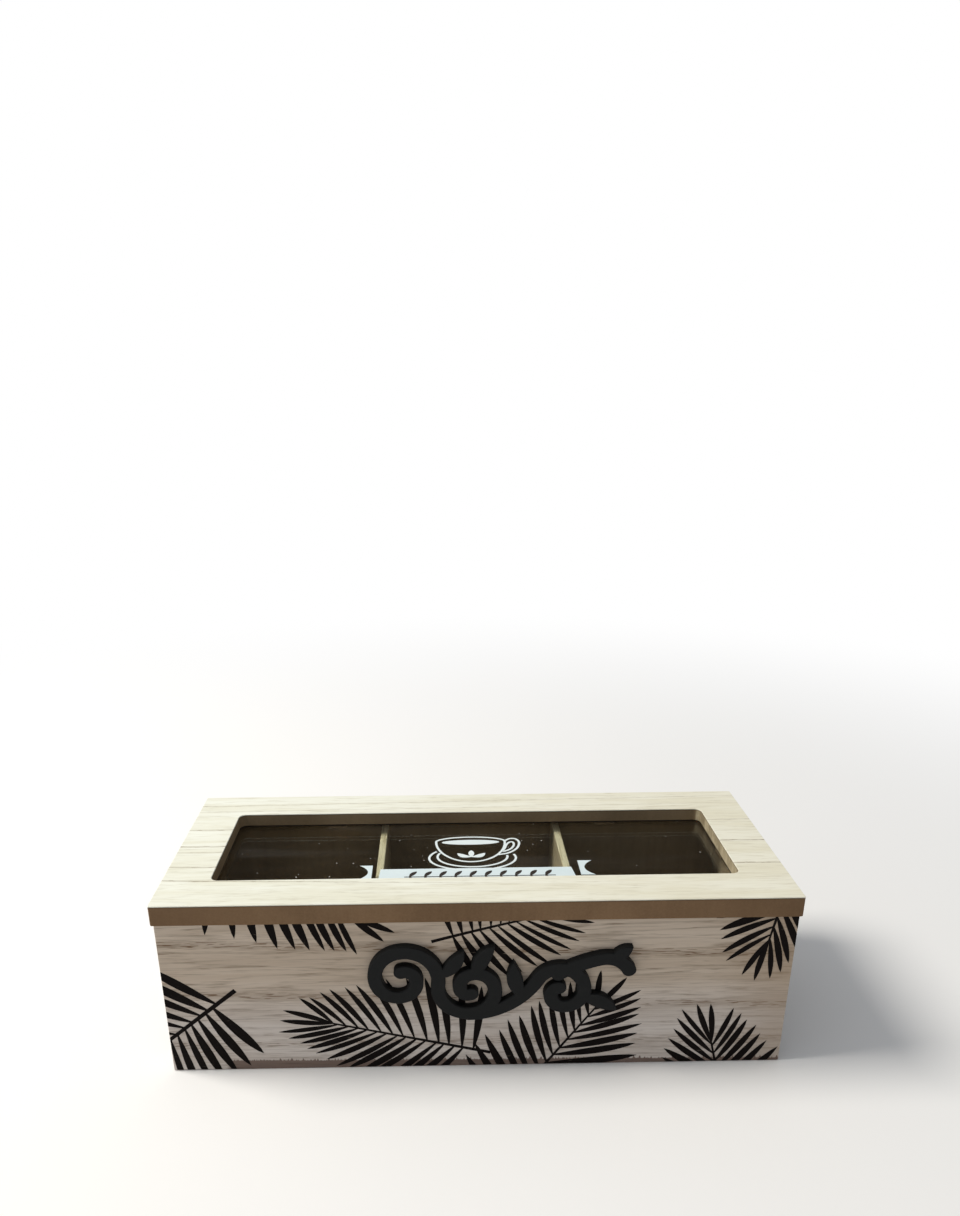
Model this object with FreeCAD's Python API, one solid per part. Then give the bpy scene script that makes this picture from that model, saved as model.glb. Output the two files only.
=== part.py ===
import FreeCAD, Part
import math
import os

# Tea box: a low wooden case with three compartments and a hinged, glazed lid.
# Millimetres. X runs along the box to the right, the front faces -Y, and Z is up.
# The origin is the centre of the case's footprint, on the underside of the base.

Vector = FreeCAD.Vector
UP = Vector(0, 0, 1)
BACKWARD = Vector(0, 1, 0)
FORWARD = Vector(0, -1, 0)

# --- Driving dimensions: case ---
case_length = 238.0
case_depth = 94.0
base_thickness = 3.0
wall_height = 63.0
wall_thickness = 5.0          # board and outer veneer together
veneer_thickness = 0.4
corner_rebate = 2.0           # how deep the side boards enter the front and back boards
compartment_count = 3
divider_thickness = 3.0
divider_groove = 1.5          # how deep the dividers enter the front and back boards
divider_drop = 3.0            # from the rim of the case down to the top of a divider
board_edge_break = 0.3

# --- Driving dimensions: lid ---
seam_gap = 0.3                # air between the rim of the case and the closed lid
lid_board_thickness = 8.0
lid_overhang_sides = 1.0
lid_overhang_front = 1.0
lid_corner_radius = 0.6
window_margin = 18.5          # width of the lid's rails, the same on all four sides
window_corner_radius = 3.0
veneer_edge_break = 0.15

# --- Driving dimensions: glass and its clips ---
glass_thickness = 2.0
glass_ledge = 4.0             # width of the ledge that the glass lies against
glass_clearance = 0.3         # around the edge of the pane, in its rebate
clip_thickness = 0.5
clip_width = 8.0
clip_foot_length = 7.0        # from the rebate's edge out over the rail
clip_tongue_length = 3.5      # from the rebate's edge in under the glass
clip_inset = 46.0             # from the end of the rebate to the first clip on a long rail
clip_pin_head_radius = 1.3
clip_pin_head_height = 0.5
clip_pin_shank_radius = 0.5
clip_pin_shank_length = 5.0

# --- Driving dimensions: hinges ---
hinge_inset = 44.0            # from the end of the case to the middle of a hinge
hinge_length = 16.0
hinge_leaf_width = 7.5        # from the pin's axis to the leaf's free edge
hinge_leaf_thickness = 0.8
knuckle_radius = 1.5
knuckle_gap = 0.3             # between knuckles, and between a knuckle and the wood
middle_knuckle_length = 5.6
knuckle_root_height = 1.9     # from the axis to where the leaf's full length begins
hinge_pin_radius = 0.8
hinge_grip_fit = 0.01         # radial play of the pin in the case's knuckles, before it is staked
hinge_running_fit = 0.05      # radial play of the pin in the lid's knuckle
hinge_nail_spacing = 9.0
hinge_nail_setback = 2.7      # from the leaf's free edge to its row of nails
hinge_nail_head_radius = 1.1
hinge_nail_head_height = 0.5
hinge_nail_shank_radius = 0.45
hinge_nail_shank_length = 4.3

# --- Driving dimensions: nails under the base ---
base_nail_head_radius = 1.2
base_nail_head_height = 0.9
base_nail_shank_radius = 0.5
base_nail_length = 14.0
base_nail_recess = 0.2        # how far the heads are sunk into the underside
base_nail_inset = 24.0        # from the end of the case to the outer nails
base_nails_per_long_side = 3
nail_hole_clearance = 0.02

# --- Driving dimensions: scroll ornament glued to the front ---
ornament_thickness = 3.0
ornament_stroke = 5.4
ornament_edge_break = 0.35
ornament_middle_offset = 9.0  # from the middle of the front to the ornament's middle
ornament_foot_height = 23.0   # from the underside of the base to the ornament's lowest point
ornament_length = 103.0
coil_step = 2.1               # each quarter turn of a scroll is this much tighter
large_scroll_radius = 12.6
middle_scroll_radius = 11.4
small_scroll_radius = 9.5
runner_radius = 30.0          # the stem that rises from the middle to the small scroll
tail_radius = 50.0            # the shoot that leaves the small scroll to the right
tail_tip_radius = 9.5

# --- Sizes worked out from the driving dimensions ---
rim_height = base_thickness + wall_height
board_thickness = wall_thickness - veneer_thickness
outer_x = case_length / 2
outer_y = case_depth / 2
board_x = outer_x - veneer_thickness
board_y = outer_y - veneer_thickness
inner_x = outer_x - wall_thickness
inner_y = outer_y - wall_thickness
divider_top = rim_height - divider_drop
compartment_length = (2 * inner_x - (compartment_count - 1) * divider_thickness) / compartment_count

lid_bottom = rim_height + seam_gap
lid_board_top = lid_bottom + lid_board_thickness
lid_top = lid_board_top + veneer_thickness
lid_x = outer_x + lid_overhang_sides
lid_front = -outer_y - lid_overhang_front
lid_back = outer_y
window_x = lid_x - window_margin
window_front = lid_front + window_margin
window_back = lid_back - window_margin
rebate_x = window_x + glass_ledge
rebate_front = window_front - glass_ledge
rebate_back = window_back + glass_ledge
glass_bottom = lid_bottom + clip_thickness
rebate_top = glass_bottom + glass_thickness

hinge_x = outer_x - hinge_inset
axis_y = outer_y + knuckle_gap + knuckle_radius
axis_z = rim_height + seam_gap / 2
outer_knuckle_length = (hinge_length - middle_knuckle_length) / 2 - knuckle_gap
hinge_nail_drop = hinge_leaf_width - hinge_nail_setback


# --- Shapes that repeat ---
def box(x0, x1, y0, y1, z0, z1):
    """A block between three pairs of coordinates, given in either order."""
    corner = Vector(min(x0, x1), min(y0, y1), min(z0, z1))
    return Part.makeBox(abs(x1 - x0), abs(y1 - y0), abs(z1 - z0), corner)


def runs_along(edge, direction):
    """True for a straight edge that is parallel to the direction."""
    if edge.Curve.TypeId != "Part::GeomLine":
        return False
    return abs(edge.Curve.Direction.dot(direction)) > 1 - 1e-6


def rounded_plate(x0, x1, y0, y1, z0, z1, radius):
    """A flat plate whose four upright corners are rounded."""
    plate = box(x0, x1, y0, y1, z0, z1)
    corners = [edge for edge in plate.Edges if runs_along(edge, UP)]
    return plate.makeFillet(radius, corners)


def edges_at_height(shape, height):
    """The edges that lie wholly in one level plane."""
    found = []
    for edge in shape.Edges:
        bounds = edge.BoundBox
        if abs(bounds.ZMin - height) < 1e-6 and abs(bounds.ZMax - height) < 1e-6:
            found.append(edge)
    return found


def rod(start, direction, radius, length):
    """A cylinder from a point along a direction."""
    return Part.makeCylinder(radius, length, start, direction)


def mirrored(shape):
    """The same shape on the other side of the box's middle plane."""
    return shape.mirror(Vector(0, 0, 0), Vector(1, 0, 0))


def pan_nail(seat, direction, head_radius, head_height, shank_radius, shank_length):
    """A nail with a flat round head that sits on the seat, driven along the direction."""
    head = rod(seat - direction * head_height, direction, head_radius, head_height)
    rim = [edge for edge in head.Edges if edge.Curve.TypeId == "Part::GeomCircle"]
    outer_rim = [edge for edge in rim if (edge.Curve.Center - seat).Length > head_height / 2]
    head = head.makeFillet(head_height / 2, outer_rim)
    return head.fuse(rod(seat, direction, shank_radius, shank_length)).removeSplitter()


def hole(seat, direction, shank_radius, length):
    """The pilot hole that a nail's shank fills, cut a little past both ends."""
    start = seat - direction * nail_hole_clearance
    return rod(start, direction, shank_radius + nail_hole_clearance, length + 2 * nail_hole_clearance)


# --- Where the nails and clips go ---
def base_nail_places():
    """Nails along the middle of each wall board: a row front and back, one at each end."""
    front_y = -(board_y + inner_y) / 2
    side_x = (board_x + inner_x) / 2
    first_x = -outer_x + base_nail_inset
    spacing = (case_length - 2 * base_nail_inset) / (base_nails_per_long_side - 1)
    places = []
    for index in range(base_nails_per_long_side):
        places.append((first_x + index * spacing, front_y))
        places.append((first_x + index * spacing, -front_y))
    return places + [(-side_x, 0.0), (side_x, 0.0)]


def hinge_nail_places(middle_x, height):
    """Two nails side by side through one leaf, on the leaf's face against the wood."""
    half = hinge_nail_spacing / 2
    return [Vector(middle_x - half, outer_y, height), Vector(middle_x + half, outer_y, height)]


def clip_places():
    """Each clip's place on the rebate's edge, with the direction out over the rail."""
    long_rail_x = rebate_x - clip_inset
    middle_y = (rebate_front + rebate_back) / 2
    return [
        (-long_rail_x, rebate_front, Vector(0, -1, 0)),
        (long_rail_x, rebate_front, Vector(0, -1, 0)),
        (-long_rail_x, rebate_back, Vector(0, 1, 0)),
        (long_rail_x, rebate_back, Vector(0, 1, 0)),
        (-rebate_x, middle_y, Vector(-1, 0, 0)),
        (rebate_x, middle_y, Vector(1, 0, 0)),
    ]


def base_nail(x, y, clearance):
    """A countersunk nail driven up from the underside, or with a clearance the hole it fills."""
    seat = Vector(x, y, base_nail_recess)
    head_radius = base_nail_head_radius + clearance
    shank_radius = base_nail_shank_radius + clearance
    head = Part.makeCone(head_radius, shank_radius, base_nail_head_height, seat, UP)
    shank = rod(seat, UP, shank_radius, base_nail_length + clearance)
    return head.fuse(shank).removeSplitter()


def cut_base_nail_holes(board):
    """Pilot holes for the base's nails, wherever they meet this board."""
    for x, y in base_nail_places():
        board = board.cut(base_nail(x, y, nail_hole_clearance))
    return board


# --- Case ---
def make_base_panel():
    panel = box(-outer_x, outer_x, -outer_y, outer_y, 0, base_thickness)
    panel = panel.makeChamfer(board_edge_break, edges_at_height(panel, 0))
    for x, y in base_nail_places():
        mouth = rod(Vector(x, y, -base_nail_recess), UP,
                    base_nail_head_radius + nail_hole_clearance, 2 * base_nail_recess)
        panel = panel.cut(mouth)
    return cut_base_nail_holes(panel)


def divider_starts():
    """The left face of each divider."""
    pitch = compartment_length + divider_thickness
    return [-inner_x + compartment_length + index * pitch for index in range(compartment_count - 1)]


def make_front_board():
    """Full-length board with end rebates for the sides and stopped grooves for the dividers."""
    board = box(-board_x, board_x, -board_y, -inner_y, base_thickness, rim_height)
    for side in (-1, 1):
        board = board.cut(box(side * inner_x, side * board_x, -inner_y - corner_rebate, -inner_y,
                              base_thickness, rim_height))
    for start in divider_starts():
        board = board.cut(box(start, start + divider_thickness, -inner_y - divider_groove, -inner_y,
                              base_thickness, divider_top))
    return cut_base_nail_holes(board)


def make_back_board():
    """The front board turned to the back, with pilot holes for the hinge nails."""
    board = box(-board_x, board_x, inner_y, board_y, base_thickness, rim_height)
    for side in (-1, 1):
        board = board.cut(box(side * inner_x, side * board_x, inner_y, inner_y + corner_rebate,
                              base_thickness, rim_height))
    for start in divider_starts():
        board = board.cut(box(start, start + divider_thickness, inner_y, inner_y + divider_groove,
                              base_thickness, divider_top))
    board = cut_base_nail_holes(board)
    return cut_hinge_nail_holes(board, axis_z - hinge_nail_drop)


def make_side_board(side):
    end_y = inner_y + corner_rebate
    board = box(side * inner_x, side * board_x, -end_y, end_y, base_thickness, rim_height)
    return cut_base_nail_holes(board)


def make_divider(start):
    """A thin board whose ends stand in the grooves; its top edges are broken."""
    end_y = inner_y + divider_groove
    board = box(start, start + divider_thickness, -end_y, end_y, base_thickness, divider_top)
    top_edges = [edge for edge in edges_at_height(board, divider_top) if runs_along(edge, BACKWARD)]
    return board.makeChamfer(board_edge_break, top_edges)


def make_front_veneer():
    """Covers the front board and the front edges of the side veneers."""
    return box(-outer_x, outer_x, -outer_y, -board_y, base_thickness, rim_height)


def make_back_veneer():
    veneer = box(-outer_x, outer_x, board_y, outer_y, base_thickness, rim_height)
    return cut_hinge_nail_holes(veneer, axis_z - hinge_nail_drop)


def make_side_veneer(side):
    return box(side * board_x, side * outer_x, -board_y, board_y, base_thickness, rim_height)


def make_base_nails():
    return Part.makeCompound([base_nail(x, y, 0) for x, y in base_nail_places()])


# --- Hinges ---
def cut_hinge_nail_holes(board, height):
    """Pilot holes for the nails of both hinges, in the back of the case or of the lid."""
    for middle_x in (-hinge_x, hinge_x):
        for seat in hinge_nail_places(middle_x, height):
            board = board.cut(hole(seat, FORWARD, hinge_nail_shank_radius, hinge_nail_shank_length))
    return board


def knuckle(x0, x1, bore_radius, side):
    """A rolled knuckle with the root that joins it to its leaf; side is +1 for the leaf above."""
    barrel = rod(Vector(x0, axis_y, axis_z), Vector(1, 0, 0), knuckle_radius, x1 - x0)
    root = box(x0, x1, outer_y, outer_y + hinge_leaf_thickness, axis_z, axis_z + side * knuckle_root_height)
    neck_y = axis_y - hinge_pin_radius - hinge_leaf_thickness / 2
    neck = box(x0, x1, outer_y, neck_y, axis_z, axis_z + side * knuckle_radius / 2)
    bore = rod(Vector(x0, axis_y, axis_z), Vector(1, 0, 0), bore_radius, x1 - x0)
    return barrel.fuse([root, neck]).cut(bore)


def make_hinge_leaf(side, knuckles, bore_radius):
    """A leaf against the wood, from its free edge to its knuckles, with two nail holes."""
    free_edge = axis_z + side * hinge_leaf_width
    root_edge = axis_z + side * knuckle_root_height
    x0 = hinge_x - hinge_length / 2
    leaf = box(x0, x0 + hinge_length, outer_y, outer_y + hinge_leaf_thickness, free_edge, root_edge)
    for start, end in knuckles:
        leaf = leaf.fuse(knuckle(x0 + start, x0 + end, bore_radius, side))
    height = axis_z + side * hinge_nail_drop
    for seat in hinge_nail_places(hinge_x, height):
        leaf = leaf.cut(hole(seat, BACKWARD, hinge_nail_shank_radius, hinge_leaf_thickness))
    return leaf.removeSplitter()


def make_hinge_case_leaf():
    """The leaf on the case carries the two outer knuckles and grips the pin."""
    knuckles = [(0, outer_knuckle_length), (hinge_length - outer_knuckle_length, hinge_length)]
    return make_hinge_leaf(-1, knuckles, hinge_pin_radius + hinge_grip_fit)


def make_hinge_lid_leaf():
    """The leaf on the lid carries the middle knuckle, which turns on the pin."""
    start = outer_knuckle_length + knuckle_gap
    return make_hinge_leaf(1, [(start, start + middle_knuckle_length)], hinge_pin_radius + hinge_running_fit)


def make_hinge_pin():
    start = Vector(hinge_x - hinge_length / 2, axis_y, axis_z)
    return rod(start, Vector(1, 0, 0), hinge_pin_radius, hinge_length)


def make_hinge_nails(side):
    nails = []
    for seat in hinge_nail_places(hinge_x, axis_z + side * hinge_nail_drop):
        head_seat = seat + BACKWARD * hinge_leaf_thickness
        nails.append(pan_nail(head_seat, FORWARD, hinge_nail_head_radius, hinge_nail_head_height,
                              hinge_nail_shank_radius, hinge_nail_shank_length))
    return Part.makeCompound(nails)


# --- Lid ---
def make_lid_board():
    """A board with a round-cornered window, a rebate for the glass below, and pilot holes."""
    board = rounded_plate(-lid_x, lid_x, lid_front, lid_back, lid_bottom, lid_board_top, lid_corner_radius)
    board = board.makeChamfer(board_edge_break, edges_at_height(board, lid_bottom))
    board = board.cut(rounded_plate(-window_x, window_x, window_front, window_back,
                                    lid_bottom, lid_board_top, window_corner_radius))
    board = board.cut(rounded_plate(-rebate_x, rebate_x, rebate_front, rebate_back,
                                    lid_bottom, rebate_top, window_corner_radius))
    for x, y, outward in clip_places():
        board = board.cut(hole(clip_pin_seat(x, y, outward), UP, clip_pin_shank_radius, clip_pin_shank_length))
    return cut_hinge_nail_holes(board, axis_z + hinge_nail_drop)


def make_lid_veneer():
    veneer = rounded_plate(-lid_x, lid_x, lid_front, lid_back, lid_board_top, lid_top, lid_corner_radius)
    veneer = veneer.cut(rounded_plate(-window_x, window_x, window_front, window_back,
                                      lid_board_top, lid_top, window_corner_radius))
    return veneer.makeChamfer(veneer_edge_break, edges_at_height(veneer, lid_top))


def make_glass_pane():
    """The pane lies up against the ledge, with a little play around its edge."""
    return rounded_plate(-rebate_x + glass_clearance, rebate_x - glass_clearance,
                         rebate_front + glass_clearance, rebate_back - glass_clearance,
                         glass_bottom, rebate_top, window_corner_radius - glass_clearance)


def clip_pin_seat(x, y, outward):
    """Where a clip's pin enters the clip's foot, halfway along it."""
    return Vector(x, y, lid_bottom - clip_thickness) + outward * (clip_foot_length / 2)


def make_glass_clip(x, y, outward):
    """A stepped strip: the foot lies under the rail, the tongue one thickness higher, under the glass."""
    edge = Vector(x, y, 0)
    across = Vector(-outward.y, outward.x, 0) * (clip_width / 2)
    step = edge - outward * (clip_thickness + glass_clearance)
    foot_end = edge + outward * clip_foot_length
    tongue_end = edge - outward * clip_tongue_length
    foot = box(step.x - across.x, foot_end.x + across.x, step.y - across.y, foot_end.y + across.y,
               lid_bottom - clip_thickness, lid_bottom)
    tongue_start = edge - outward * glass_clearance
    tongue = box(tongue_end.x - across.x, tongue_start.x + across.x,
                 tongue_end.y - across.y, tongue_start.y + across.y,
                 lid_bottom - clip_thickness / 2, glass_bottom)
    clip = foot.fuse(tongue)
    pin_seat = clip_pin_seat(x, y, outward)
    clip = clip.cut(hole(pin_seat, UP, clip_pin_shank_radius, clip_thickness))
    return clip.removeSplitter()


def make_glass_clips():
    return Part.makeCompound([make_glass_clip(x, y, outward) for x, y, outward in clip_places()])


def make_glass_clip_pins():
    pins = []
    for x, y, outward in clip_places():
        pins.append(pan_nail(clip_pin_seat(x, y, outward), UP, clip_pin_head_radius,
                             clip_pin_head_height, clip_pin_shank_radius, clip_pin_shank_length))
    return Part.makeCompound(pins)


# --- Scroll ornament, drawn on the front face from its lower left corner ---
def front_point(across, height):
    """A point of the ornament's drawing on the front face of the case."""
    left = ornament_middle_offset - ornament_length / 2
    return Vector(left + across, -outer_y, ornament_foot_height + height)


def toward(heading, distance):
    """The step of one distance along a heading, in degrees from +X towards +Z."""
    angle = math.radians(heading)
    return Vector(math.cos(angle) * distance, 0, math.sin(angle) * distance)


def coil(first_radius, first_sweep, quarter_turns):
    """The arcs of a scroll: one long arc, then quarter turns, each tighter by the coil step."""
    quarter = math.copysign(90, first_sweep)
    tighter = [(first_radius - coil_step * (turn + 1), quarter) for turn in range(quarter_turns)]
    return [(first_radius, first_sweep)] + tighter


def stroke(start, heading, arcs):
    """A band with round ends along tangent arcs, each a radius and a sweep, left turns positive."""
    half = ornament_stroke / 2
    left_side = []
    right_side = []
    point = start
    first_left = start + toward(heading + 90, half)
    first_right = start + toward(heading - 90, half)
    start_cap = Part.Arc(first_right, start + toward(heading + 180, half), first_left)
    for radius, sweep in arcs:
        inward = heading + math.copysign(90, sweep)
        centre = point + toward(inward, radius)
        left_points = []
        right_points = []
        for share in (0, 0.5, 1):
            here = centre + toward(inward + 180 + sweep * share, radius)
            left_points.append(here + toward(heading + sweep * share + 90, half))
            right_points.append(here + toward(heading + sweep * share - 90, half))
        left_side.append(Part.Arc(*left_points))
        right_side.append(Part.Arc(*reversed(right_points)))
        point = centre + toward(inward + 180 + sweep, radius)
        heading = heading + sweep
    end_left = point + toward(heading + 90, half)
    end_right = point + toward(heading - 90, half)
    end_cap = Part.Arc(end_left, point + toward(heading, half), end_right)
    outline = [start_cap] + left_side + [end_cap] + list(reversed(right_side))
    return raised([arc.toShape() for arc in outline])


def leaf(base, heading, length, width, bow):
    """A pointed leaf between two arcs; its midrib bends by the bow."""
    tip = base + toward(heading, length)
    middle = base + toward(heading, length / 2)
    upper = Part.Arc(base, middle + toward(heading + 90, bow + width / 2), tip)
    lower = Part.Arc(tip, middle + toward(heading + 90, bow - width / 2), base)
    return raised([upper.toShape(), lower.toShape()])


def raised(outline):
    """The outline cut from a board of the ornament's thickness, with its front edges broken."""
    solid = Part.Face(Part.Wire(outline)).extrude(FORWARD * ornament_thickness)
    front_y = -outer_y - ornament_thickness
    front_edges = [edge for edge in solid.Edges if abs(edge.BoundBox.YMax - front_y) < 1e-6]
    return solid.makeChamfer(ornament_edge_break, front_edges)


def make_front_ornament():
    """A running scroll: an S stem with two coils, a runner to a third, a shoot and leaves."""
    stem = front_point(27.5, 17.0)
    pieces = [
        stroke(stem, 82, coil(large_scroll_radius, 118, 4)),
        stroke(stem, 262, coil(middle_scroll_radius, 123, 4)),
        stroke(front_point(39.0, 3.5), 0, [(runner_radius, 60)] + coil(small_scroll_radius, -150, 3)),
        stroke(front_point(72.6, 20.8), 32, [(tail_radius, -20), (tail_tip_radius, -75)]),
        leaf(front_point(41.0, 19.0), 62, 16.5, 6.0, 1.5),
        leaf(front_point(60.0, 10.0), 104, 17.0, 6.0, 1.5),
        leaf(front_point(27.5, 20.0), 50, 15.0, 5.5, -1.0),
        leaf(front_point(81.0, 11.0), -25, 16.0, 6.0, 1.0),
        leaf(front_point(92.0, 25.0), 42, 11.0, 5.0, 0.5),
    ]
    return pieces[0].fuse(pieces[1:]).removeSplitter()


# --- Every piece, in its own node ---
def build_nodes():
    divider_left, divider_right = divider_starts()[0], divider_starts()[-1]
    nodes = {
        "base_panel": make_base_panel(),
        "front_board": make_front_board(),
        "back_board": make_back_board(),
        "left_side_board": make_side_board(-1),
        "right_side_board": make_side_board(1),
        "left_divider": make_divider(divider_left),
        "right_divider": make_divider(divider_right),
        "front_veneer": make_front_veneer(),
        "back_veneer": make_back_veneer(),
        "left_side_veneer": make_side_veneer(-1),
        "right_side_veneer": make_side_veneer(1),
        "front_ornament": make_front_ornament(),
        "base_nails": make_base_nails(),
        "lid_board": make_lid_board(),
        "lid_veneer": make_lid_veneer(),
        "glass_pane": make_glass_pane(),
        "glass_clips": make_glass_clips(),
        "glass_clip_pins": make_glass_clip_pins(),
    }
    hinge_pieces = {
        "hinge_case_leaf": make_hinge_case_leaf(),
        "hinge_lid_leaf": make_hinge_lid_leaf(),
        "hinge_pin": make_hinge_pin(),
        "hinge_case_nails": make_hinge_nails(-1),
        "hinge_lid_nails": make_hinge_nails(1),
    }
    for name, shape in hinge_pieces.items():
        nodes["right_" + name] = shape
        nodes["left_" + name] = mirrored(shape)
    return nodes


os.makedirs("parts", exist_ok=True)
for name, shape in build_nodes().items():
    shape.exportStep("parts/" + name + ".step")
    print(name, "solids", len(shape.Solids), "volume", round(shape.Volume, 1), "valid", shape.isValid())
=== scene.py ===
# %% [markdown]
# # A tea box with a window lid
#
# The object is a low wooden box for tea bags. Its case has three compartments, and its lid is a
# routed board with a pane of glass, hinged at the back. Every board, nail and hinge is made at its
# real size in model.glb, and they load here as a fixed frame. What is left to make is what no
# solid holds: the grain of the veneers, the ink printed on wood and glass, and the light.

# %% Load the frame
import math

import bmesh
import bpy
import numpy as np
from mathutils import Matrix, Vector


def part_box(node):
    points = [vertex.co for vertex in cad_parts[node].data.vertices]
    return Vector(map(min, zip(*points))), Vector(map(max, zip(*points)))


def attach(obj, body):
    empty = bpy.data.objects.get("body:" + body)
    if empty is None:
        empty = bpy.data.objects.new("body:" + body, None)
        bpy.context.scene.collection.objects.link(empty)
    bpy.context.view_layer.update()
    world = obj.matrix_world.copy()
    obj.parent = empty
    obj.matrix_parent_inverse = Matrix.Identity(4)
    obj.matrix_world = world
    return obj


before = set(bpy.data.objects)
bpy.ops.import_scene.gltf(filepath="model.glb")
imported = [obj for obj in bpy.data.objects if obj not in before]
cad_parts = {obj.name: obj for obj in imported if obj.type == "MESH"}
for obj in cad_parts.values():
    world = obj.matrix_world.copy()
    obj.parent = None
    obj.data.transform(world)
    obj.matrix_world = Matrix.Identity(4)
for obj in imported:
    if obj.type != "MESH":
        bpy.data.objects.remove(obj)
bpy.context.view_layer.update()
MM = 0.001

# %% [markdown]
# ## Camera
#
# Seen from close by with a wide lens, the sides of a box fall away strongly, so the camera's
# distance matters as much as its angle. The camera looks down on the lid, and its lens is shifted
# upwards, so that the box sits low in the frame while its upright edges keep their slant.

# %% The camera and its lens
FRAME_WIDTH, FRAME_HEIGHT = 960, 1216
FOCAL_LENGTH = 917.3                 # in pixels of the frame
OPTICAL_CENTRE = (453.8, 750.3)      # where the lens looks straight ahead, in pixels
SENSOR = 36.0
CAMERA_PLACE = (-0.01267, -0.33792, 0.24842)
CAMERA_TURN = (68.478, 0.385, -0.983)    # in degrees, about X, Y and Z
NEAREST = 0.01                       # anything closer to the lens than this isn't drawn

lens = bpy.data.cameras.new("camera")
lens.sensor_width = SENSOR
lens.lens = FOCAL_LENGTH / FRAME_HEIGHT * SENSOR
lens.shift_x = (FRAME_WIDTH / 2 - OPTICAL_CENTRE[0]) / FRAME_HEIGHT
lens.shift_y = (OPTICAL_CENTRE[1] - FRAME_HEIGHT / 2) / FRAME_HEIGHT
lens.clip_start = NEAREST
camera = bpy.data.objects.new("camera", lens)
camera.location = CAMERA_PLACE
camera.rotation_euler = [math.radians(angle) for angle in CAMERA_TURN]
bpy.context.scene.collection.objects.link(camera)
bpy.context.scene.camera = camera
print("lens in mm:", round(lens.lens, 2))
print("looking down by", round(90 - CAMERA_TURN[0], 1), "degrees")

# %% [markdown]
# ## A finish as a small recipe
#
# A material is a network of nodes. Building one by hand takes many clicks, and image textures
# would tie every board to one picture. So these classes give the few steps that every wood and
# metal here is cooked from: noise that can be stretched along the grain, a soft threshold, and a
# blend of two colours. All of it is placed by the object's own coordinates, in metres, so a
# pattern stays where it is on the board.

# %% Colours and the steps of a finish
def paint(red, green, blue):
    """A screen colour, 0 to 255, as linear light: the standard curve of screens, undone."""
    share = np.array([red, green, blue]) / 255
    light = np.where(share <= 0.04045, share / 12.92, ((share + 0.055) / 1.055) ** 2.4)
    return (*light.tolist(), 1.0)


class Network:
    """The steps that a network of nodes is made of."""

    def __init__(self, tree):
        self.tree = tree

    def set(self, node, sockets):
        """Fills sockets with plain values, or links them to another node's output. An underscore
        in a socket's name stands for a space."""
        for name, value in sockets.items():
            name = name.replace("_", " ") if isinstance(name, str) else name
            if isinstance(value, bpy.types.NodeSocket):
                self.tree.links.new(value, node.inputs[name])
            else:
                node.inputs[name].default_value = value

    def add(self, kind, sockets=None, **settings):
        node = self.tree.nodes.new(kind)
        for name, value in settings.items():
            setattr(node, name, value)
        self.set(node, sockets or {})
        return node

    def math(self, operation, *values):
        return self.add("ShaderNodeMath", dict(enumerate(values)), operation=operation).outputs[0]

    def rise(self, value, low, high, top=1.0):
        """Nothing up to low, the top value from high on, and a smooth slope between them."""
        return self.add("ShaderNodeMapRange",
                        {"Value": value, "From Min": low, "From Max": high, "To Max": top},
                        interpolation_type="SMOOTHSTEP").outputs[0]

    def blend(self, share, first, second):
        """From the first colour to the second, by a share from 0 to 1."""
        return self.add("ShaderNodeMix", {0: share, 6: first, 7: second},
                        data_type="RGBA").outputs[2]

    def mix(self, share, first, second):
        """From the first shader node to the second, by a share from 0 to 1."""
        return self.add("ShaderNodeMixShader",
                        {0: share, 1: first.outputs[0], 2: second.outputs[0]})


class Finish(Network):
    """A material, its main shader and the place of a point on the object."""

    def __init__(self, name, **sockets):
        self.material = bpy.data.materials.new(name)
        self.material.use_nodes = True
        super().__init__(self.material.node_tree)
        self.shader = self.tree.nodes["Principled BSDF"]
        self.place = self.add("ShaderNodeTexCoord").outputs["Object"]
        self.set(self.shader, sockets)

    def part(self, axis):
        """One coordinate of the surface, in metres."""
        return self.add("ShaderNodeSeparateXYZ", {0: self.place}).outputs[axis]

    def noise(self, cells, detail=2.0, roughness=0.5, shift=0.0, swirl=0.0):
        """Noise from 0 to 1: so many cells per metre along X, Y and Z, made wavy by the swirl."""
        place = self.add("ShaderNodeMapping",
                         {"Vector": self.place, "Scale": cells, "Location": (shift,) * 3})
        noise = self.add("ShaderNodeTexNoise",
                         {"Vector": place.outputs[0], "Scale": 1.0, "Detail": detail,
                          "Roughness": roughness, "Distortion": swirl})
        return noise.outputs[0]

    def colour(self, value):
        """Makes a colour, or the output that gives one, the surface's own."""
        self.set(self.shader, {"Base Color": value})

    def relief(self, height, depth, strength=1.0):
        """Tiny bumps whose height follows a value, depth in metres."""
        bump = self.add("ShaderNodeBump",
                        {"Height": height, "Distance": depth, "Strength": strength})
        self.set(self.shader, {"Normal": bump.outputs[0]})

    def surface(self, shader):
        """Takes the surface from another shader node than the main one."""
        self.set(self.tree.nodes["Material Output"], {"Surface": shader.outputs[0]})


def dress(finish, *names):
    """Gives these solids the finish."""
    for name in names:
        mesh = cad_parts[name].data
        mesh.materials.clear()
        mesh.materials.append(finish.material)
    print(finish.material.name, "has", len(finish.tree.nodes), "nodes and dresses", *names)


print("middle grey as light:", round(paint(128, 128, 128)[0], 3))

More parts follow.
